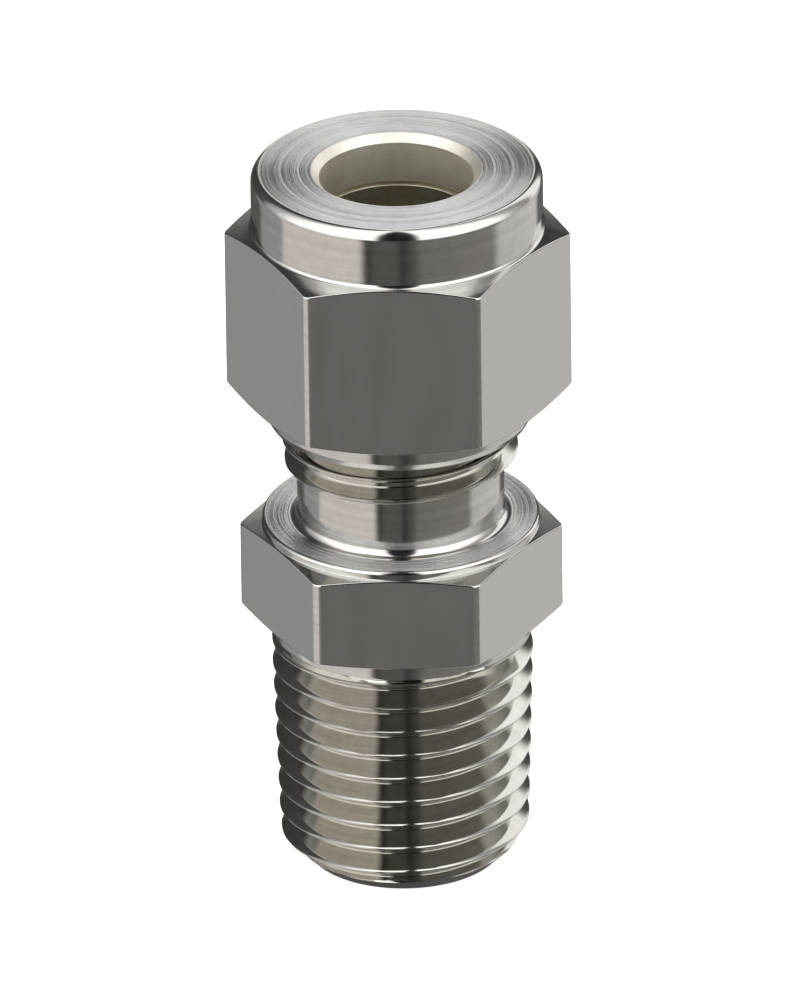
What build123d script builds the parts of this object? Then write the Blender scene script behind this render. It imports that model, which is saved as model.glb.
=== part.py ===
from build123d import *
from math import cos, pi, radians, tan
import os

# A straight tube fitting with two rings and a male taper pipe thread, standing on the end of its
# pipe thread. +Z runs along the axis towards the nut. All lengths are in millimetres.
# Profiles are drawn as (radius, height) and turned about the axis. Both threads are left out: each
# threaded length is a plain shank at its crests, with the chamfers that the thread is cut into.

# Tube that the fitting takes, and how loosely the pieces run on it
tube_diameter = 8.0
socket_clearance = 0.10
ring_clearance = 0.12
nut_bore_clearance = 0.24

# Gaps between pieces that touch or run on each other
seat_gap = 0.02
thread_gap = 0.05

# How far the outline of a bore runs past the faces that it opens
cut_margin = 1.0

# Shank of the male taper pipe thread, taper 1 in 16 on the diameter
pipe_taper = 1 / 16
pipe_end_diameter = 13.25
pipe_length = 14.2
pipe_point_width = 1.425
pipe_point_angle = 45.0

# Shank of the nut thread on the body
nut_thread_depth = 0.77
nut_thread_length = 10.73
nut_thread_start_angle = 60.0
nose_chamfer = 0.6
nose_width = 0.6

# Body
flow_bore_diameter = 6.4
body_hex_across_flats = 15.0
body_hex_length = 5.25
body_hex_corner_radius = 0.55
body_chamfer_angle = 13.0
land_step = 0.1
land_height = 0.48
land_edge = 0.15
neck_length = 3.5
neck_foot = 0.3
tube_insertion = 10.26
mouth_width = 1.05
mouth_half_angle = 20.0

# Front ring
front_cone_play = 0.1
front_neck_length = 0.1
front_tip_wall = 0.22
front_collar_step = 0.15
front_collar_length = 1.26
front_collar_wall = 0.45
flare_angle = 45.0

# Back ring
back_nose_wall = 0.19
back_waist_play = 0.06
back_waist_length = 0.55
back_flange_step = 0.43
back_flange_length = 0.55
back_face_wall = 0.34

# Nut
nut_length = 14.4
nut_hex_step = 0.7
nut_hex_length = 9.67
nut_hex_corner_radius = 0.4
nut_chamfer_angle = 20.0
collar_step = 0.24
collar_length = 3.24
collar_edge_width = 0.41
collar_edge_height = 0.6
hub_wall = 0.65
hub_taper = 0.12
hub_point_width = 0.4
hub_point_height = 0.45
nut_bore_length = 2.56
nut_mouth_width = 0.41
nut_shoulder_angle = 45.0
ring_chamber_clearance = 0.2
tightening_room = 1.6
thread_entry_width = 0.3


def turned(*points):
    """Turns a closed outline of (radius, height) points about the axis, one face for each run."""
    profile = Plane.XZ * make_face(Polyline(*points, close=True))
    return revolve(profile, Axis.Z, clean=False)


def rise(run, angle):
    """Height that a slope of this many degrees gains over a run."""
    return run * tan(radians(angle))


def corner_radius_of(across_flats):
    """Distance from the axis to a sharp corner of a hexagon."""
    return across_flats / 2 / cos(pi / 6)


def hexagon_bar(across_flats, corner_radius, bottom, height):
    """A length of drawn hexagon bar with two flats facing front and back and rounded corners."""
    sharp = RegularPolygon(across_flats / 2, 6, major_radius=False)
    section = fillet(sharp.vertices(), corner_radius)
    return Pos(0, 0, bottom) * extrude(section, height)


def chamfer_cones(across_flats, angle, bottom, height):
    """Turned envelope that cuts a hexagon's corners back at both ends."""
    flat = across_flats / 2
    reach = corner_radius_of(across_flats)
    drop = rise(reach - flat, angle)
    axis_rise = rise(flat, angle)
    return turned(
        (0, bottom - axis_rise),
        (flat, bottom),
        (reach, bottom + drop),
        (reach, bottom + height - drop),
        (flat, bottom + height),
        (0, bottom + height + axis_rise),
    )


# Levels and radii that the body's pieces share
tube_radius = tube_diameter / 2
socket_radius = tube_radius + socket_clearance / 2
flow_radius = flow_bore_diameter / 2
pipe_slope = pipe_taper / 2
pipe_end_radius = pipe_end_diameter / 2
pipe_top_radius = pipe_end_radius + pipe_slope * pipe_length
body_hex_top = pipe_length + body_hex_length
land_top = body_hex_top + land_height
neck_top = land_top + neck_length
nose = neck_top + nut_thread_length
mouth_radius = socket_radius + mouth_width
mouth_floor = nose - (mouth_radius - socket_radius) / tan(radians(mouth_half_angle))
tube_stop = nose - tube_insertion
nut_thread_radius = mouth_radius + nose_width + nose_chamfer
neck_radius = nut_thread_radius - nut_thread_depth


def pipe_shank():
    """Tapered shank that the pipe thread is cut on, with its chamfered point."""
    point_top = pipe_point_width / tan(radians(pipe_point_angle))
    return turned(
        (0, 0),
        (pipe_end_radius - pipe_point_width, 0),
        (pipe_end_radius + pipe_slope * point_top, point_top),
        (pipe_top_radius, pipe_length),
        (0, pipe_length),
    )


def body_hexagon():
    """Hexagon with chamfered corners and the turned land that faces the nut."""
    bar = hexagon_bar(body_hex_across_flats, body_hex_corner_radius, pipe_length, body_hex_length)
    cones = chamfer_cones(body_hex_across_flats, body_chamfer_angle, pipe_length, body_hex_length)
    land_radius = body_hex_across_flats / 2 - land_step
    land = turned(
        (0, body_hex_top),
        (land_radius, body_hex_top),
        (land_radius, land_top - land_edge),
        (land_radius - land_edge, land_top),
        (0, land_top),
    )
    return (bar & cones) + land


def neck_and_nut_shank():
    """Smooth neck with a spread foot, and the shank of the nut thread with its nose."""
    start = rise(nut_thread_depth, 90 - nut_thread_start_angle)
    return turned(
        (0, land_top),
        (neck_radius + neck_foot, land_top),
        (neck_radius, land_top + neck_foot),
        (neck_radius, neck_top - start),
        (nut_thread_radius, neck_top),
        (nut_thread_radius, nose - nose_chamfer),
        (nut_thread_radius - nose_chamfer, nose),
        (0, nose),
    )


def body_bores():
    """Flow bore, tube socket with its stop, and the conical mouth that the front ring sits in."""
    return turned(
        (0, -cut_margin),
        (flow_radius, -cut_margin),
        (flow_radius, tube_stop),
        (socket_radius, tube_stop),
        (socket_radius, mouth_floor),
        (mouth_radius, nose),
        (mouth_radius, nose + cut_margin),
        (0, nose + cut_margin),
    )


# Where each ring comes to rest on what carries it
ring_bore_radius = tube_radius + ring_clearance / 2
front_cone_radius = mouth_radius - front_cone_play / 2
front_tip_radius = ring_bore_radius + front_tip_wall
front_lift = seat_gap / tan(radians(mouth_half_angle))
front_cone_top = nose - (mouth_radius - front_cone_radius) / tan(radians(mouth_half_angle)) + front_lift
front_tip = front_cone_top - (front_cone_radius - front_tip_radius) / tan(radians(mouth_half_angle))
front_collar_bottom = front_cone_top + front_neck_length
front_back = front_collar_bottom + front_collar_length
front_collar_radius = front_cone_radius + front_collar_step
flare_radius = front_collar_radius - front_collar_wall
back_nose_radius = ring_bore_radius + back_nose_wall
back_waist_radius = flare_radius - back_waist_play / 2
back_nose_top = front_back - rise(flare_radius - back_waist_radius, 90 - flare_angle) + seat_gap
back_tip = back_nose_top - rise(back_waist_radius - back_nose_radius, 90 - flare_angle)
back_flange_bottom = back_nose_top + back_waist_length
back_flange_radius = back_waist_radius + back_flange_step
back_flange_top = back_flange_bottom + back_flange_length
back_face_radius = ring_bore_radius + back_face_wall
back_face = back_flange_top + rise(back_flange_radius - back_face_radius, 90 - nut_shoulder_angle)


def front_ring():
    """Front ring: a cone into the body's mouth, a collar above it and a flare for the back ring."""
    flare_floor = front_back - rise(flare_radius - ring_bore_radius, 90 - flare_angle)
    return turned(
        (ring_bore_radius, front_tip),
        (front_tip_radius, front_tip),
        (front_cone_radius, front_cone_top),
        (front_cone_radius, front_collar_bottom),
        (front_collar_radius, front_collar_bottom),
        (front_collar_radius, front_back),
        (flare_radius, front_back),
        (ring_bore_radius, flare_floor),
    )


def back_ring():
    """Back ring: a nose that enters the flare, a waist, and a flange with a sloping back."""
    return turned(
        (ring_bore_radius, back_tip),
        (back_nose_radius, back_tip),
        (back_waist_radius, back_nose_top),
        (back_waist_radius, back_flange_bottom),
        (back_flange_radius, back_flange_bottom),
        (back_flange_radius, back_flange_top),
        (back_face_radius, back_face),
        (ring_bore_radius, back_face),
    )


# The nut's shoulder rests on the back ring's slope, and everything in the nut follows from there.
# Its walls are counted out from its thread, and its hexagon and collar from its hub.
nut_bore_radius = tube_radius + nut_bore_clearance / 2
shoulder_top = back_face + rise(back_face_radius - nut_bore_radius, 90 - nut_shoulder_angle) + seat_gap
nut_top = shoulder_top + nut_bore_length
nut_bottom = nut_top - nut_length
nut_hex_top = nut_top - collar_length - rise(collar_step, nut_chamfer_angle)
nut_hex_bottom = nut_hex_top - nut_hex_length
nut_bore_thread_radius = nut_thread_radius + thread_gap
thread_entry_radius = nut_bore_thread_radius + thread_entry_width
hub_radius = thread_entry_radius + hub_wall
nut_hex_across_flats = 2 * (hub_radius + nut_hex_step)
collar_radius = hub_radius + nut_hex_step - collar_step


def nut_outside():
    """Round collar, hexagon and hub of the nut, without its bores."""
    bar = hexagon_bar(nut_hex_across_flats, nut_hex_corner_radius, nut_hex_bottom, nut_hex_length)
    cones = chamfer_cones(nut_hex_across_flats, nut_chamfer_angle, nut_hex_bottom, nut_hex_length)
    edge_bottom = nut_top - collar_edge_height
    collar = turned(
        (0, nut_hex_bottom),
        (collar_radius, nut_hex_bottom),
        (collar_radius, edge_bottom),
        (collar_radius - collar_edge_width, nut_top),
        (0, nut_top),
    )
    hub = turned(
        (0, nut_bottom),
        (hub_radius - hub_point_width, nut_bottom),
        (hub_radius - hub_taper, nut_bottom + hub_point_height),
        (hub_radius, nut_hex_bottom),
        (hub_radius, nut_hex_bottom + cut_margin),
        (0, nut_hex_bottom + cut_margin),
    )
    return (bar & cones) + collar + hub


def nut_bores():
    """Tube bore, driving shoulder, ring chamber and the bore of the nut thread."""
    chamber_radius = max(front_collar_radius, back_flange_radius) + ring_chamber_clearance / 2
    bore_mouth_radius = nut_bore_radius + nut_mouth_width
    shoulder_bottom = shoulder_top - rise(chamber_radius - nut_bore_radius, 90 - nut_shoulder_angle)
    thread_top = nose + tightening_room
    chamber_bottom = thread_top + (shoulder_bottom - thread_top) / 2
    return turned(
        (0, nut_bottom - cut_margin),
        (thread_entry_radius, nut_bottom - cut_margin),
        (thread_entry_radius, nut_bottom),
        (nut_bore_thread_radius, nut_bottom + thread_entry_width),
        (nut_bore_thread_radius, thread_top),
        (chamber_radius, chamber_bottom),
        (chamber_radius, shoulder_bottom),
        (nut_bore_radius, shoulder_top),
        (nut_bore_radius, nut_top - nut_mouth_width),
        (bore_mouth_radius, nut_top),
        (bore_mouth_radius, nut_top + cut_margin),
        (0, nut_top + cut_margin),
    )


fitting_body = pipe_shank() + body_hexagon() + neck_and_nut_shank() - body_bores()
nut = nut_outside() - nut_bores()

pieces = {
    "fitting_body": fitting_body,
    "front_ring": front_ring(),
    "back_ring": back_ring(),
    "nut": nut,
}

os.makedirs("parts", exist_ok=True)
for name, piece in pieces.items():
    export_step(piece, f"parts/{name}.step")
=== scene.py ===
from math import ceil, cos, pi, radians, sin, sqrt, tan

import bmesh
import bpy
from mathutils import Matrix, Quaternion, Vector


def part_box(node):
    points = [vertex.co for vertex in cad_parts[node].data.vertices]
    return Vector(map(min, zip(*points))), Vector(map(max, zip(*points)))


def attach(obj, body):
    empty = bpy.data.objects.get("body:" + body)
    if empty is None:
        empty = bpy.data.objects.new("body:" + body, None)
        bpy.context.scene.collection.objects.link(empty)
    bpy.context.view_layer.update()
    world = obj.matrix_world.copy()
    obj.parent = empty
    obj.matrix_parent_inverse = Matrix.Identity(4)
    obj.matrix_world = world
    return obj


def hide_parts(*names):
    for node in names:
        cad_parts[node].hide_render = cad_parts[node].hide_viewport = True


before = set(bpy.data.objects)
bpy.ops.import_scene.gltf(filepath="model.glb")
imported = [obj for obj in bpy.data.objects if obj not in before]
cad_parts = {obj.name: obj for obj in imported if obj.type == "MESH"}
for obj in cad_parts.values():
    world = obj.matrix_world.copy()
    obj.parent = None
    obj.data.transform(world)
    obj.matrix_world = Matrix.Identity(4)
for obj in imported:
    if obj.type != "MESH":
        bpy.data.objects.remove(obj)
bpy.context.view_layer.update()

# Fitting body: one piece of stainless hexagon bar, turned and threaded. The taper pipe thread and
# the nut thread are cut with a point, and the hexagon keeps the drawn bar's satin flats.
MM = 0.001
INCH = 25.4

# Sizes are in millimetres, and heights count from the end of the pipe thread. A hexagon is its
# width across flats and the radius of the drawn bar's corners.
BODY_HEXAGON = (15.0, 0.55)
HEX_BOTTOM = 14.2
HEX_TOP = 19.46
HEX_EDGE = 0.09
BODY_CHAMFER = tan(radians(13))
BODY_CHAMFER_RADIUS = 7.35
LAND_RADIUS = 7.4
LAND_TOP = 19.93
LAND_EDGE = 0.18
NECK_RADIUS = 5.53
NECK_FOOT = 0.45
TURNED_EDGE = 0.04
FINE_EDGE = 0.03
BORE_EDGE = 0.05

PIPE_THREADS_PER_INCH = 18
PIPE_PITCH = INCH / PIPE_THREADS_PER_INCH
PIPE_TAPER = 1 / 32
PIPE_END_RADIUS = 6.62
PIPE_POINT_RADIUS = 5.2
PIPE_START = 0.1
PIPE_NEAR_CREST = 1.70
PIPE_RUNOUT = 13.3
RUNOUT_SLOPE = 1.2
RUNOUT_REACH = 0.3
SHANK_RADIUS = 6.95
SHANK_FOOT = 0.08
CREST_OVER_SHANK = 1 / 32

NUT_PITCH = 1.27
NUT_THREAD_RADIUS = 6.3
NUT_NEAR_CREST = 23.59
NUT_THREAD_START = 22.985
START_REACH = 0.1
NOSE_CHAMFER = 0.6

FLOW_RADIUS = 3.2
FLOW_CHAMFER = 0.2
SOCKET_RADIUS = 4.05
SOCKET_EDGE = 0.3
TUBE_STOP = 23.9
STOP_FOOT = 0.15
STOP_EDGE = 0.08
MOUTH_RADIUS = 5.1
SEAT_ANGLE = radians(20)
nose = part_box("fitting_body")[1].z / MM
mouth_floor = nose - (MOUTH_RADIUS - SOCKET_RADIUS) / tan(SEAT_ANGLE)

# Every piece of the fitting is cut on a lathe, so each is an outline of (radius, height) that is
# extruded round the axis, column by column. The columns crowd together at the hexagon's corners,
# and an outline may differ from the next. Angles are in degrees, with a corner at 0.
SIDES = 6
SIDE_ANGLE = 360 / SIDES
CORNER_COLUMNS = 3
FLAT_COLUMNS = 16
CORNER_SUPPORT = 0.2


def corner_half_angle(across_flats, corner_radius):
    """Half of the angle, seen from the axis, that a rounded corner of the bar takes."""
    centre = (across_flats / 2 - corner_radius) / cos(pi / SIDES)
    reach = Vector((centre + corner_radius * cos(pi / SIDES), corner_radius * sin(pi / SIDES)))
    return Vector((1, 0)).angle(reach) * 180 / pi


def column_angles(half_corner):
    """Angles of the columns, from a corner of the hexagon round to the same corner."""
    flat = half_corner + CORNER_SUPPORT
    step = (SIDE_ANGLE - 2 * flat) / FLAT_COLUMNS
    side = [half_corner * i / CORNER_COLUMNS for i in range(CORNER_COLUMNS + 1)]
    side += [flat + step * i for i in range(FLAT_COLUMNS + 1)]
    side += [SIDE_ANGLE - half_corner * i / CORNER_COLUMNS for i in range(CORNER_COLUMNS, 0, -1)]
    return [SIDE_ANGLE * k + angle for k in range(SIDES) for angle in side] + [360]


def hexagon_radius(angle, across_flats, corner_radius):
    """Distance from the axis to the hexagon's side at an angle."""
    from_corner = abs((angle + SIDE_ANGLE / 2) % SIDE_ANGLE - SIDE_ANGLE / 2)
    centre = (across_flats / 2 - corner_radius) / cos(pi / SIDES)
    if from_corner < corner_half_angle(across_flats, corner_radius):
        aside = centre * sin(radians(from_corner))
        return centre * cos(radians(from_corner)) + sqrt(corner_radius**2 - aside**2)
    return across_flats / 2 / cos(radians(SIDE_ANGLE / 2 - from_corner))


ARC_STEPS = 4
SUPPORT = 0.02


def rounded(corners):
    """Points of a closed outline. Each corner is (radius, height, rounding), and 0 leaves a point.

    A support point stands just before and just after each arc, so that it shades as an edge.
    """
    points = []
    for i, (radius, height, rounding) in enumerate(corners):
        here = Vector((radius, height))
        if not rounding:
            points.append(here)
            continue
        before = (Vector(corners[i - 1][:2]) - here).normalized()
        after = (Vector(corners[(i + 1) % len(corners)][:2]) - here).normalized()
        half = before.angle(after) / 2
        run = rounding / tan(half)
        centre = here + (before + after).normalized() * rounding / sin(half)
        start = here + before * run - centre
        end = here + after * run - centre
        points.append(here + before * (run + SUPPORT))
        points += [centre + start.slerp(end, k / ARC_STEPS) * rounding for k in range(ARC_STEPS + 1)]
        points.append(here + after * (run + SUPPORT))
    return points


MERGE_DISTANCE = 1e-4
SHARP_ANGLE = radians(32)


def turned(name, section, angles):
    """Extrudes the outline that section(angle) gives round the axis, and closes it on itself."""
    shape = bmesh.new()
    place = shape.verts.layers.int.new("place")
    column = [shape.verts.new((radius, 0, height)) for radius, height in section(angles[0])]
    for i, vertex in enumerate(column):
        vertex[place] = i
    edges = [shape.edges.new((column[i - 1], column[i])) for i in range(len(column))]
    for angle in angles[1:]:
        made = bmesh.ops.extrude_edge_only(shape, edges=edges)["geom"]
        fresh = {item for item in made if isinstance(item, bmesh.types.BMVert)}
        made_edges = [item for item in made if isinstance(item, bmesh.types.BMEdge)]
        edges = [edge for edge in made_edges if fresh.issuperset(edge.verts)]
        outline = section(angle)
        for vertex in fresh:
            radius, height = outline[vertex[place]]
            vertex.co = (radius * cos(radians(angle)), radius * sin(radians(angle)), height)
    bmesh.ops.remove_doubles(shape, verts=shape.verts, dist=MERGE_DISTANCE)
    bmesh.ops.recalc_face_normals(shape, faces=shape.faces)
    for edge in shape.edges:
        edge.smooth = not edge.is_manifold or edge.calc_face_angle() < SHARP_ANGLE
    for face in shape.faces:
        face.smooth = True
    bmesh.ops.scale(shape, vec=(MM, MM, MM), verts=shape.verts)
    mesh = bpy.data.meshes.new(name)
    shape.to_mesh(mesh)
    shape.free()
    piece = bpy.data.objects.new(name, mesh)
    bpy.context.scene.collection.objects.link(piece)
    return piece


# Both threads are right-handed 60 degree threads with slightly rounded crests and roots. A near
# crest is the height of one crest on the side that faces the camera, and the helix rises from it.
FLANK = tan(radians(60))
CREST_FLAT = 0.08
ROOT_FLAT = 0.10
RIDGE_ROUNDING = 0.02
CAMERA_TURN = 2.3
NEAR_SIDE = 270 + CAMERA_TURN

# Points from a root up to the next crest, as shares of the pitch, and then down the other flank.
ROOT_TO_CREST = (0, 0.025, 0.05, 0.085, 0.14, 0.20, 0.27, 0.34, 0.41, 0.45, 0.475)
RIDGE_SHARES = [share - 0.5 for share in ROOT_TO_CREST]
RIDGE_SHARES += [0.5 - share for share in ROOT_TO_CREST[:0:-1]]


def soft_ramp(distance):
    """A ramp from 0 that starts in a small curve."""
    return (distance + sqrt(distance**2 + RIDGE_ROUNDING**2)) / 2


def ridge_drop(aside, pitch):
    """How far the thread's surface lies under its crest, at a distance along the axis from it."""
    run = (pitch - CREST_FLAT - ROOT_FLAT) / 2
    start = abs(aside) - CREST_FLAT / 2
    return FLANK * (soft_ramp(start) - soft_ramp(start - run))


def helix_lift(angle, pitch):
    """How far the helix has risen at an angle, counted from the side that faces the camera."""
    return pitch * (angle - NEAR_SIDE) / 360


def from_crest(angle, height, pitch, near_crest):
    """Distance along the axis to the nearest crest."""
    turns = (height - near_crest - helix_lift(angle, pitch)) / pitch
    return (turns - round(turns)) * pitch


def thread_heights(angle, pitch, near_crest, low, high):
    """Heights of the points along a thread, which run up with the helix between two limits."""
    first = near_crest + pitch * (ceil((low - near_crest) / pitch) - 1)
    turns = ceil((high - low) / pitch) + 2
    lift = helix_lift(angle, pitch)
    rows = [first + pitch * (turn + share) + lift for turn in range(turns) for share in RIDGE_SHARES]
    return [min(max(row, low), high) for row in rows]


def pipe_crest_radius(height):
    """Radius of the pipe thread's crest, which grows with its taper."""
    return min(PIPE_END_RADIUS + PIPE_TAPER * height, SHANK_RADIUS + CREST_OVER_SHANK)


def pipe_radius(angle, height):
    """Radius of the pipe thread: the helix, its run-out under the hexagon and its chamfered point."""
    crest = pipe_crest_radius(height)
    aside = from_crest(angle, height, PIPE_PITCH, PIPE_NEAR_CREST)
    runout = SHANK_RADIUS - max(PIPE_RUNOUT - height, 0) * RUNOUT_SLOPE
    return min(max(crest - ridge_drop(aside, PIPE_PITCH), runout), PIPE_POINT_RADIUS + height, crest)


def nut_thread_radius(angle, height):
    """Radius of the nut thread, from the flank where it leaves the neck to the chamfer at the nose."""
    aside = from_crest(angle, height, NUT_PITCH, NUT_NEAR_CREST)
    ridge = max(NUT_THREAD_RADIUS - ridge_drop(aside, NUT_PITCH), NECK_RADIUS)
    start = NECK_RADIUS + max(height - NUT_THREAD_START, 0) * FLANK
    return min(ridge, start, NUT_THREAD_RADIUS - NOSE_CHAMFER + nose - height)


def body_section(angle):
    """Outline of the body at an angle, from the flow bore out, up the outside and down the bores."""
    side = hexagon_radius(angle, *BODY_HEXAGON)
    slope = (side - BODY_CHAMFER_RADIUS) * BODY_CHAMFER
    pipe = thread_heights(angle, PIPE_PITCH, PIPE_NEAR_CREST, PIPE_START, PIPE_RUNOUT + RUNOUT_REACH)
    thread = thread_heights(angle, NUT_PITCH, NUT_NEAR_CREST, NUT_THREAD_START - START_REACH, nose)
    corners = [
        (FLOW_RADIUS, FLOW_CHAMFER, TURNED_EDGE),
        (FLOW_RADIUS + FLOW_CHAMFER, 0, TURNED_EDGE),
        (PIPE_POINT_RADIUS, 0, FINE_EDGE),
    ]
    corners += [(pipe_radius(angle, height), height, 0) for height in pipe]
    corners += [
        (SHANK_RADIUS, HEX_BOTTOM, SHANK_FOOT),
        (BODY_CHAMFER_RADIUS, HEX_BOTTOM, TURNED_EDGE),
        (side, HEX_BOTTOM + slope, HEX_EDGE),
        (side, HEX_TOP - slope, HEX_EDGE),
        (LAND_RADIUS, HEX_TOP, TURNED_EDGE),
        (LAND_RADIUS, LAND_TOP, LAND_EDGE),
        (NECK_RADIUS, LAND_TOP, NECK_FOOT),
    ]
    corners += [(nut_thread_radius(angle, height), height, 0) for height in thread]
    corners += [
        (MOUTH_RADIUS, nose, BORE_EDGE),
        (SOCKET_RADIUS, mouth_floor, SOCKET_EDGE),
        (SOCKET_RADIUS, TUBE_STOP, STOP_FOOT),
        (FLOW_RADIUS, TUBE_STOP, STOP_EDGE),
    ]
    return rounded(corners)


body = turned("fitting_body_steel", body_section, column_angles(corner_half_angle(*BODY_HEXAGON)))


def group_with(name, inputs, outputs):
    """A new node group of values, with the sockets of its input node and of its output node."""
    group = bpy.data.node_groups.new(name, "ShaderNodeTree")
    for socket, value in inputs:
        made = group.interface.new_socket(socket, in_out="INPUT", socket_type="NodeSocketFloat")
        made.default_value = value
    for socket in outputs:
        group.interface.new_socket(socket, in_out="OUTPUT", socket_type="NodeSocketFloat")
    return group, group.nodes.new("NodeGroupInput").outputs, group.nodes.new("NodeGroupOutput").inputs


def node(tree, kind, links=(), **values):
    """Adds a node. Values name its settings, and links are (input, output socket or value)."""
    made = tree.nodes.new(kind)
    for key, value in values.items():
        setattr(made, key, value)
    for socket, source in links:
        if isinstance(source, bpy.types.NodeSocket):
            tree.links.new(source, made.inputs[socket])
        else:
            made.inputs[socket].default_value = source
    return made


def maths(tree, operation, *sources):
    """A Math node's result."""
    return node(tree, "ShaderNodeMath", list(enumerate(sources)), operation=operation).outputs[0]


def average(tree, first, second):
    """The mean of two values."""
    return maths(tree, "MULTIPLY", maths(tree, "ADD", first, second), 0.5)


def noise(tree, where, scale, detail):
    """A noise over the surface."""
    links = [("Vector", where), ("Scale", scale), ("Detail", detail)]
    return node(tree, "ShaderNodeTexNoise", links).outputs[0]


def band_noise(tree, distance, scale, detail):
    """A noise that changes with one distance only."""
    links = [("W", distance), ("Scale", scale), ("Detail", detail)]
    return node(tree, "ShaderNodeTexNoise", links, noise_dimensions="1D").outputs[0]


# The fine rings that a lathe leaves, which run round the axis on cylinders and across the end
# faces, and fade out on 45 degree chamfers. Coarse rings are where the cut was a little deeper.
BEND_SCALE = 300.0
BEND_DETAIL = 1.0
RING_DETAIL = 2.0
FINE_RINGS = 1.0
COARSE_RINGS = 0.13
lathe_rings, given, result = group_with(
    "lathe_rings", [("Spacing", 0.05), ("Waver", 0.1)], ["Rings", "Coarse"]
)
where = node(lathe_rings, "ShaderNodeTexCoord").outputs["Object"]
x, y, z = node(lathe_rings, "ShaderNodeSeparateXYZ", [(0, where)]).outputs
x_squared = maths(lathe_rings, "MULTIPLY", x, x)
y_squared = maths(lathe_rings, "MULTIPLY", y, y)
across = maths(lathe_rings, "SQRT", maths(lathe_rings, "ADD", x_squared, y_squared))
along = maths(lathe_rings, "MULTIPLY", maths(lathe_rings, "ADD", z, across), 1 / MM)
bend = noise(lathe_rings, where, BEND_SCALE, BEND_DETAIL)
along = maths(lathe_rings, "ADD", along, maths(lathe_rings, "MULTIPLY", bend, given["Waver"]))
turns = maths(lathe_rings, "DIVIDE", along, given["Spacing"])
lathe_rings.links.new(band_noise(lathe_rings, turns, FINE_RINGS, RING_DETAIL), result["Rings"])
lathe_rings.links.new(band_noise(lathe_rings, turns, COARSE_RINGS, RING_DETAIL), result["Coarse"])

# The satin grain of steel that has been tumbled or drawn. A stretch under 1 draws it out along
# the bar, and the patches are larger places where the satin is denser.
GRAIN_DETAIL = 3.0
PATCH_SHARE = 0.12
satin_grain, given, result = group_with(
    "satin_grain", [("Size", 0.1), ("Stretch", 1.0)], ["Grain", "Patches"]
)
where = node(satin_grain, "ShaderNodeTexCoord").outputs["Object"]
stretch = node(satin_grain, "ShaderNodeCombineXYZ", [(0, 1.0), (1, 1.0), (2, given["Stretch"])]).outputs[0]
pulled = node(
    satin_grain, "ShaderNodeVectorMath", [(0, where), (1, stretch)], operation="MULTIPLY"
).outputs[0]
scale = maths(satin_grain, "DIVIDE", 1 / MM, given["Size"])
patch_scale = maths(satin_grain, "MULTIPLY", scale, PATCH_SHARE)
satin_grain.links.new(noise(satin_grain, pulled, scale, GRAIN_DETAIL), result["Grain"])
satin_grain.links.new(noise(satin_grain, pulled, patch_scale, GRAIN_DETAIL), result["Patches"])

NOISE_RANGE = (0.3, 0.7)
COLOUR_A = 6
COLOUR_B = 7
COLOUR_RESULT = 2


def mapped(tree, value, source_range, wanted_range, **values):
    """A value, mapped from one range to another."""
    limits = zip(("From Min", "From Max", "To Min", "To Max"), (*source_range, *wanted_range))
    return node(tree, "ShaderNodeMapRange", [("Value", value), *limits], **values).outputs[0]


def mixed(tree, share, first, second, **values):
    """A colour between two others, or what another blend type makes of them."""
    links = [(0, share), (COLOUR_A, first), (COLOUR_B, second)]
    return node(tree, "ShaderNodeMix", links, data_type="RGBA", **values).outputs[COLOUR_RESULT]


def bump(tree, height, millimetres, normal=None):
    """The normal of marks so many millimetres high, laid over another normal where one is given."""
    links = [("Strength", 1.0), ("Distance", millimetres * MM), ("Height", height)]
    if normal is not None:
        links.append(("Normal", normal))
    return node(tree, "ShaderNodeBump", links).outputs[0]


def steel(name, dark, light, rough, spacing, ring_height, grain_size, stretch, grain_height):
    """Stainless steel with lathe rings and a satin grain, between two colours and two roughnesses.

    The spacing of the rings, the size of the grain and the heights of both are in millimetres.
    """
    material = bpy.data.materials.new(name)
    material.use_nodes = True
    tree = material.node_tree
    shader = tree.nodes["Principled BSDF"].inputs
    shader["Metallic"].default_value = 1.0
    rings = node(tree, "ShaderNodeGroup", [("Spacing", spacing)], node_tree=lathe_rings).outputs
    grain_links = [("Size", grain_size), ("Stretch", stretch)]
    grain = node(tree, "ShaderNodeGroup", grain_links, node_tree=satin_grain).outputs
    shade = mapped(tree, average(tree, rings["Coarse"], grain["Patches"]), NOISE_RANGE, (0.0, 1.0))
    tree.links.new(mixed(tree, shade, (*dark, 1), (*light, 1)), shader["Base Color"])
    blotches = average(tree, grain["Grain"], grain["Patches"])
    tree.links.new(mapped(tree, blotches, NOISE_RANGE, rough), shader["Roughness"])
    ringed = bump(tree, rings["Rings"], ring_height)
    tree.links.new(bump(tree, grain["Grain"], grain_height, ringed), shader["Normal"])
    return material


turned_steel = steel(
    "turned_steel", dark=(0.52, 0.515, 0.49), light=(0.63, 0.625, 0.60), rough=(0.08, 0.14),
    spacing=0.05, ring_height=0.0005, grain_size=0.08, stretch=1.0, grain_height=0.0004,
)
drawn_steel = steel(
    "drawn_steel", dark=(0.555, 0.555, 0.535), light=(0.575, 0.575, 0.56), rough=(0.31, 0.35),
    spacing=0.05, ring_height=0.0, grain_size=0.10, stretch=0.15, grain_height=0.0001,
)
# Thread steel: its colour, darker and warmer than the turned steel, is painted shade for the shadow and
# brown bounce light in the thread grooves. Its low roughness is the cut finish.
threaded_steel_with_painted_shade = steel(
    "threaded_steel_with_painted_shade", dark=(0.49, 0.48, 0.44), light=(0.61, 0.60, 0.56), rough=(0.05, 0.10),
    spacing=0.04, ring_height=0.0, grain_size=0.08, stretch=1.0, grain_height=0.0,
)
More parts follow.
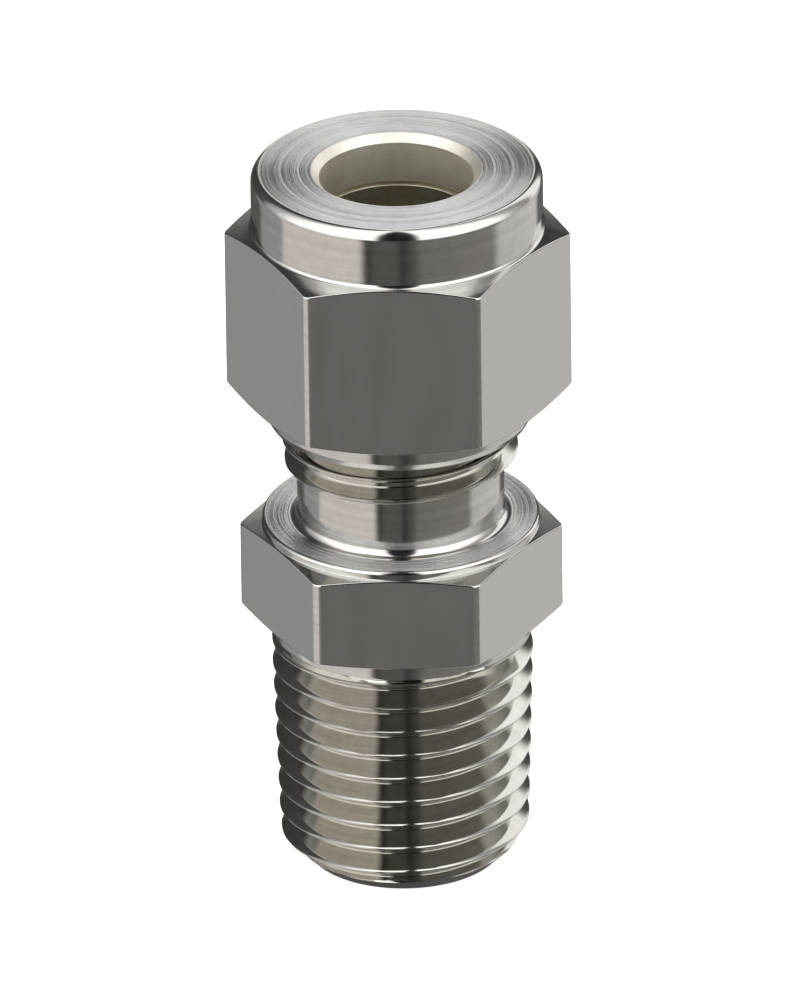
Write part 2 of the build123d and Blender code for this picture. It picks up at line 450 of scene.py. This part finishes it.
# Bore steel: its pale beige colour, far lighter than the other steel, is painted light for the warm light
# bounced round inside the bores. Its higher roughness is the bored finish.
bored_steel_with_painted_light = steel(
    "bored_steel_with_painted_light", dark=(0.82, 0.79, 0.69), light=(0.90, 0.87, 0.77), rough=(0.42, 0.52),
    spacing=0.06, ring_height=0.0010, grain_size=0.08, stretch=1.0, grain_height=0.0006,
)
faced_steel = steel(
    "faced_steel", dark=(0.56, 0.56, 0.56), light=(0.68, 0.68, 0.67), rough=(0.14, 0.26),
    spacing=0.05, ring_height=0.0600, grain_size=0.16, stretch=1.0, grain_height=0.0300,
)
FINISHES = (turned_steel, drawn_steel, threaded_steel_with_painted_shade, bored_steel_with_painted_light, faced_steel)
TURNED, DRAWN, THREADED_WITH_PAINTED_SHADE, BORED_WITH_PAINTED_LIGHT, FACED = range(len(FINISHES))
FLAT_ANGLES = [pi * (2 * side + 1) / SIDES for side in range(SIDES)]
FLAT_WAYS = [Vector((cos(angle), sin(angle))) for angle in FLAT_ANGLES]
TOLERANCE = 0.01
FACE_LEAN = 0.999


def finish(piece, choose):
    """Gives each face the finish that choose(reach, height, faces_in, lean) names.

    The reach is how far out the face lies towards the nearest flat and the height is above the
    origin, both in millimetres. The lean is 1 where the face looks straight up or down.
    """
    for material in FINISHES:
        piece.data.materials.append(material)
    for face in piece.data.polygons:
        radial = face.center.xy
        reach = max(radial.dot(way) for way in FLAT_WAYS) / MM
        faces_in = radial.dot(face.normal.xy) < 0
        face.material_index = choose(reach, face.center.z / MM, faces_in, abs(face.normal.z))


def on_flat(reach, lean, hexagon):
    """Whether a face lies on one of the hexagon's drawn flats."""
    return lean < TOLERANCE and abs(reach - hexagon[0] / 2) < TOLERANCE


def body_finish(reach, height, faces_in, lean):
    """The body's flats are drawn, its threads and bores cut, its ends faced and the rest turned. The
    bores' colour holds painted light and the threads' colour painted shade.
    """
    # The inner faces of the bores take the steel whose pale beige colour is painted light.
    if faces_in and reach < MOUTH_RADIUS:
        return BORED_WITH_PAINTED_LIGHT
    if lean > FACE_LEAN:
        return FACED
    # The threads take the steel whose darker, warmer colour is painted shade.
    if height < PIPE_RUNOUT or NUT_THREAD_START < height:
        return THREADED_WITH_PAINTED_SHADE
    if HEX_BOTTOM < height < HEX_TOP and on_flat(reach, lean, BODY_HEXAGON):
        return DRAWN
    return TURNED


finish(body, body_finish)
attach(body, "fitting_body")
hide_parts("fitting_body")

# Front ring: turned from bar and finely finished. Its long cone seats in the body's mouth, and
# the flare in its back takes the nose of the back ring.
TUBE_BORE = 4.06
FRONT_TIP_RADIUS = 4.28
FRONT_CONE_RADIUS = 5.05
FRONT_LAND = 0.1
FRONT_COLLAR_RADIUS = 5.2
FLARE_RADIUS = 4.75
RING_EDGE = 0.04
RING_FINE_EDGE = 0.02
front_low, front_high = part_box("front_ring")
front_tip = front_low.z / MM
front_back = front_high.z / MM


def front_section(angle):
    """Outline of the front ring, whose flare is at 45 degrees."""
    cone_top = front_tip + (FRONT_CONE_RADIUS - FRONT_TIP_RADIUS) / tan(SEAT_ANGLE)
    return rounded([
        (TUBE_BORE, front_tip, RING_FINE_EDGE),
        (FRONT_TIP_RADIUS, front_tip, FINE_EDGE),
        (FRONT_CONE_RADIUS, cone_top, RING_EDGE),
        (FRONT_CONE_RADIUS, cone_top + FRONT_LAND, RING_FINE_EDGE),
        (FRONT_COLLAR_RADIUS, cone_top + FRONT_LAND, RING_FINE_EDGE),
        (FRONT_COLLAR_RADIUS, front_back, RING_EDGE),
        (FLARE_RADIUS, front_back, RING_EDGE),
        (TUBE_BORE, front_back - FLARE_RADIUS + TUBE_BORE, RING_EDGE),
    ])


ring_columns = column_angles(corner_half_angle(*BODY_HEXAGON))
front = turned("front_ring_steel", front_section, ring_columns)
# Ring steel: its olive-brown colour is painted light for the warm bounce light seen down the bore, where
# the rings show. Its roughness is the rings' finish.
ring_steel = steel(
    "ring_steel", dark=(0.50, 0.47, 0.38), light=(0.60, 0.57, 0.47), rough=(0.30, 0.40),
    spacing=0.04, ring_height=0.0006, grain_size=0.06, stretch=1.0, grain_height=0.0004,
)
front.data.materials.append(ring_steel)
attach(front, "rings")
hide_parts("front_ring")

# Back ring: the smaller turned ring between the front ring and the nut's shoulder. Its nose goes
# into the flare, and only its bore shows, deep inside the nut.
BACK_NOSE_RADIUS = 4.25
BACK_WAIST_RADIUS = 4.72
BACK_FLANGE_RADIUS = 5.15
BACK_FLANGE_START = 1.02
BACK_FACE_RADIUS = 4.4
back_low, back_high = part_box("back_ring")
back_tip = back_low.z / MM
back_face = back_high.z / MM


def back_section(angle):
    """Outline of the back ring, whose nose and back are both at 45 degrees."""
    return rounded([
        (TUBE_BORE, back_tip, FINE_EDGE),
        (BACK_NOSE_RADIUS, back_tip, FINE_EDGE),
        (BACK_WAIST_RADIUS, back_tip + BACK_WAIST_RADIUS - BACK_NOSE_RADIUS, RING_EDGE),
        (BACK_WAIST_RADIUS, back_tip + BACK_FLANGE_START, RING_EDGE),
        (BACK_FLANGE_RADIUS, back_tip + BACK_FLANGE_START, RING_EDGE),
        (BACK_FLANGE_RADIUS, back_face - BACK_FLANGE_RADIUS + BACK_FACE_RADIUS, RING_EDGE),
        (BACK_FACE_RADIUS, back_face, RING_EDGE),
        (TUBE_BORE, back_face, RING_EDGE),
    ])


back = turned("back_ring_steel", back_section, ring_columns)
# The back ring takes the same ring steel, whose olive-brown colour is painted light.
back.data.materials.append(ring_steel)
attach(back, "rings")
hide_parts("back_ring")

# Nut: turned from stainless hexagon bar. A tall round collar stands on the hexagon and a short
# hub hangs under it. Inside are the bore, the driving shoulder and the thread.
NUT_HEXAGON = (16.0, 0.4)
NUT_CHAMFER = tan(radians(20))
NUT_CHAMFER_RADIUS = 7.8
COLLAR_RADIUS = 7.76
COLLAR_HEIGHT = 3.24
COLLAR_FOOT = 0.2
COLLAR_EDGE_HEIGHT = 0.6
COLLAR_EDGE_CURVE = 0.6386
COLLAR_EDGE_TURN = 70
COLLAR_EDGE_STEP = 10
HUB_RADIUS = 7.3
HUB_LENGTH = 1.36
HUB_FOOT = 0.05
HUB_BREAK_RADIUS = 7.16
HUB_BREAK_HEIGHT = 0.42
HUB_BREAK_CURVE = 0.15
HUB_POINT_RADIUS = 6.92
HUB_POINT_EDGE = 0.06
NUT_BORE_RADIUS = 4.12
NUT_BORE_EDGE = 0.06
NUT_MOUTH_RADIUS = 4.53
NUT_BORE_LENGTH = 2.56
CHAMBER_RADIUS = 5.3
CHAMBER_LENGTH = 1.5
CHAMBER_FOOT = 0.1
NUT_MINOR_RADIUS = 5.68
NUT_ENTRY_RADIUS = 6.65
THREAD_PLAY = 0.06
THREAD_PAST_NOSE = 1.2
THREAD_RELIEF_RADIUS = 6.35
nut_low, nut_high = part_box("nut")
nut_bottom = nut_low.z / MM
nut_top = nut_high.z / MM
collar_foot = nut_top - COLLAR_HEIGHT
shoulder_top = nut_top - NUT_BORE_LENGTH
chamber_end = shoulder_top - CHAMBER_LENGTH
nut_hex_bottom = nut_bottom + HUB_LENGTH
thread_end = nose + THREAD_PAST_NOSE


def nut_thread_bore(angle, height):
    """Radius of the thread in the nut, which clears the body's thread by its play."""
    aside = from_crest(angle, height, NUT_PITCH, NUT_NEAR_CREST)
    groove = max(NUT_THREAD_RADIUS - ridge_drop(aside, NUT_PITCH) + THREAD_PLAY, NUT_MINOR_RADIUS)
    entry = NUT_ENTRY_RADIUS - (height - nut_bottom)
    relief = THREAD_RELIEF_RADIUS - max(thread_end - height, 0) * RUNOUT_SLOPE
    return max(groove, entry, relief)


def collar_edge_point(turn):
    """Point of the collar's rounded top edge, after so many degrees of its curve."""
    radius = COLLAR_RADIUS - COLLAR_EDGE_CURVE * (1 - cos(radians(turn)))
    return radius, nut_top - COLLAR_EDGE_HEIGHT + COLLAR_EDGE_CURVE * sin(radians(turn)), 0


def nut_section(angle):
    """Outline of the nut at an angle, from its bottom edge up the outside and down the inside."""
    side = hexagon_radius(angle, *NUT_HEXAGON)
    edge = [collar_edge_point(turn) for turn in range(0, COLLAR_EDGE_TURN + 1, COLLAR_EDGE_STEP)]
    thread = thread_heights(angle, NUT_PITCH, NUT_NEAR_CREST, nut_bottom, thread_end + RUNOUT_REACH)
    corners = [
        (HUB_POINT_RADIUS, nut_bottom, HUB_POINT_EDGE),
        (HUB_BREAK_RADIUS, nut_bottom + HUB_BREAK_HEIGHT, HUB_BREAK_CURVE),
        (HUB_RADIUS, nut_hex_bottom, HUB_FOOT),
        (NUT_CHAMFER_RADIUS, nut_hex_bottom, TURNED_EDGE),
        (side, nut_hex_bottom + (side - NUT_CHAMFER_RADIUS) * NUT_CHAMFER, HEX_EDGE),
        (side, collar_foot - (side - COLLAR_RADIUS) * NUT_CHAMFER, HEX_EDGE),
        (COLLAR_RADIUS, collar_foot, COLLAR_FOOT),
        (COLLAR_RADIUS, nut_top - COLLAR_EDGE_HEIGHT - SUPPORT, 0),
    ]
    corners += edge
    corners += [
        (edge[-1][0] - SUPPORT, nut_top, 0),
        (NUT_MOUTH_RADIUS, nut_top, BORE_EDGE),
        (NUT_BORE_RADIUS, nut_top - NUT_MOUTH_RADIUS + NUT_BORE_RADIUS, NUT_BORE_EDGE),
        (NUT_BORE_RADIUS, shoulder_top, BORE_EDGE),
        (CHAMBER_RADIUS, shoulder_top - CHAMBER_RADIUS + NUT_BORE_RADIUS, CHAMBER_FOOT),
        (CHAMBER_RADIUS, chamber_end, CHAMBER_FOOT),
    ]
    corners += [(nut_thread_bore(angle, height), height, 0) for height in reversed(thread)]
    return rounded(corners)


def nut_finish(reach, height, faces_in, lean):
    """The nut's flats are drawn, its bore and thread cut, its ends faced and the rest turned. The bore's
    colour holds painted light and the thread's colour painted shade.
    """
    # The nut's bore takes the steel whose pale beige colour is painted light.
    if faces_in and height > chamber_end:
        return BORED_WITH_PAINTED_LIGHT
    # The nut's thread takes the steel whose darker, warmer colour is painted shade.
    if faces_in:
        return THREADED_WITH_PAINTED_SHADE
    if lean > FACE_LEAN:
        return FACED
    if nut_hex_bottom < height < collar_foot and on_flat(reach, lean, NUT_HEXAGON):
        return DRAWN
    return TURNED


nut = turned("nut_steel", nut_section, column_angles(corner_half_angle(*NUT_HEXAGON)))
finish(nut, nut_finish)
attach(nut, "nut")
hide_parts("nut")

# Floor: a plain white sheet that the fitting stands on. It shows white to the camera, keeps the
# fitting's soft shadow, and leaves the reflections to the studio round it.
FLOOR_SIZE = 1.2
FLOOR_WHITE = 0.8
FLOOR_GLOW = 0.6
bpy.ops.mesh.primitive_plane_add(size=FLOOR_SIZE)
floor = bpy.context.object
floor.name = "floor"
floor.visible_glossy = False
sheet = bpy.data.materials.new("white_sheet")
sheet.use_nodes = True
tree = sheet.node_tree
shader = tree.nodes["Principled BSDF"].inputs
shader["Base Color"].default_value = (FLOOR_WHITE, FLOOR_WHITE, FLOOR_WHITE, 1)
shader["Roughness"].default_value = 1.0
shader["Specular IOR Level"].default_value = 0.0
shader["Emission Color"].default_value = (1, 1, 1, 1)
to_camera = node(tree, "ShaderNodeLightPath").outputs["Is Camera Ray"]
tree.links.new(maths(tree, "MULTIPLY", to_camera, FLOOR_GLOW), shader["Emission Strength"])
floor.data.materials.append(sheet)

# Studio: white to the camera, and to the steel a dim room with broad soft lights at the left and
# right of the camera, a dark gap between them, fainter ones behind and a table below.
LIGHT_LEVEL = 2.0
RAMP_MIDDLE = 0.5
TABLE_EDGE = (-12.0, -4.0)

# Points round the room: (bearing, brightness, warmth). A bearing is in degrees from the camera
# and grows towards the photograph's right. The table is darkest in front.
TABLE_BANDS = [
    (-180, 0.10, 0.0), (-142, 0.12, 0.0), (-132, 0.38, -0.02), (-106, 0.42, -0.02),
    (-100, 0.80, 0.06), (-32, 0.84, 0.06),
    (-24, 0.06, 0.04), (-17, 0.13, 0.04), (-2, 0.13, 0.04), (4, 0.06, 0.04),
    (12, 0.12, 0.05), (20, 0.23, 0.05), (80, 0.28, 0.05),
    (90, 0.72, 0.02), (140, 0.75, 0.02), (150, 0.15, 0.0), (179, 0.10, 0.0),
]
LIGHT_BANDS = [
    (-180, 0.62, 0.0), (-173, 0.60, 0.0), (-167, 0.12, 0.0), (-158, 0.03, 0.0),
    (-126, 0.05, 0.0), (-112, 0.30, 0.0), (-80, 0.90, 0.0), (-19, 1.0, 0.0),
    (-13, 0.01, 0.0), (13, 0.01, 0.0),
    (19, 1.0, 0.0), (80, 0.90, 0.0), (104, 0.30, 0.0), (118, 0.20, 0.0),
    (128, 0.70, 0.0), (144, 0.70, 0.0), (151, 0.06, 0.0),
    (160, 0.03, 0.0), (167, 0.12, 0.0), (173, 0.60, 0.0), (179, 0.62, 0.0),
]


def room_band(tree, bearing, stops):
    """Colours round the room, from the points of a band."""
    ramp = node(tree, "ShaderNodeValToRGB", [(0, bearing)])
    ramp.color_ramp.interpolation = "EASE"
    elements = ramp.color_ramp.elements
    elements.remove(elements[1])
    for degrees, bright, warmth in stops:
        place = degrees / 360 + RAMP_MIDDLE
        element = elements.new(place) if place else elements[0]
        element.color = (bright * (1 + warmth), bright, bright * (1 - warmth), 1)
    return ramp.outputs[0]


world = bpy.data.worlds.new("studio")
bpy.context.scene.world = world
world.use_nodes = True
tree = world.node_tree
direction = node(tree, "ShaderNodeTexCoord").outputs["Generated"]
x, y, z = node(tree, "ShaderNodeSeparateXYZ", [(0, direction)]).outputs
bearing = maths(tree, "ARCTAN2", x, maths(tree, "MULTIPLY", y, -1.0))
bearing = maths(tree, "DIVIDE", maths(tree, "SUBTRACT", bearing, radians(CAMERA_TURN)), 2 * pi)
bearing = maths(tree, "FRACT", maths(tree, "ADD", bearing, 1 + RAMP_MIDDLE))
height = maths(tree, "MULTIPLY", maths(tree, "ARCSINE", z), 180 / pi)
above = mapped(tree, height, TABLE_EDGE, (0.0, 1.0), interpolation_type="SMOOTHSTEP")
table = room_band(tree, bearing, TABLE_BANDS)
level = (LIGHT_LEVEL, LIGHT_LEVEL, LIGHT_LEVEL, 1)
lights = mixed(tree, 1.0, room_band(tree, bearing, LIGHT_BANDS), level, blend_type="MULTIPLY")
to_camera = node(tree, "ShaderNodeLightPath").outputs["Is Camera Ray"]
seen = mixed(tree, to_camera, mixed(tree, above, table, lights), (1, 1, 1, 1))
tree.links.new(seen, tree.nodes["Background"].inputs["Color"])

# Camera: a long lens 1.5 m away that looks down on the fitting at 26 degrees, turned a little
# on its own axis as the photograph is.
AIM = Vector((0, 0, 21.14 * MM))
DISTANCE = 1513.8 * MM
ELEVATION = radians(26.263)
ROLL = radians(0.752)
PIXELS_ACROSS = 800
PIXELS_DOWN = 1000
PIXELS_PER_MM = 18.774
AIM_PIXEL = (400.64, 490.72)
turn = radians(CAMERA_TURN)
back_way = Vector((sin(turn) * cos(ELEVATION), -cos(turn) * cos(ELEVATION), sin(ELEVATION)))
camera = bpy.data.objects.new("camera", bpy.data.cameras.new("camera"))
bpy.context.scene.collection.objects.link(camera)
bpy.context.scene.camera = camera
camera.data.sensor_fit = "HORIZONTAL"
camera.data.lens = camera.data.sensor_width * DISTANCE / (PIXELS_ACROSS / PIXELS_PER_MM * MM)
camera.data.shift_x = -(AIM_PIXEL[0] - PIXELS_ACROSS / 2) / PIXELS_ACROSS
camera.data.shift_y = (AIM_PIXEL[1] - PIXELS_DOWN / 2) / PIXELS_ACROSS
camera.location = AIM + back_way * DISTANCE
camera.rotation_mode = "QUATERNION"
camera.rotation_quaternion = (-back_way).to_track_quat("-Z", "Y") @ Quaternion((0, 0, 1), -ROLL)
camera.data.clip_start = 0.1
camera.data.clip_end = 10
bpy.context.scene.view_settings.view_transform = "Standard"
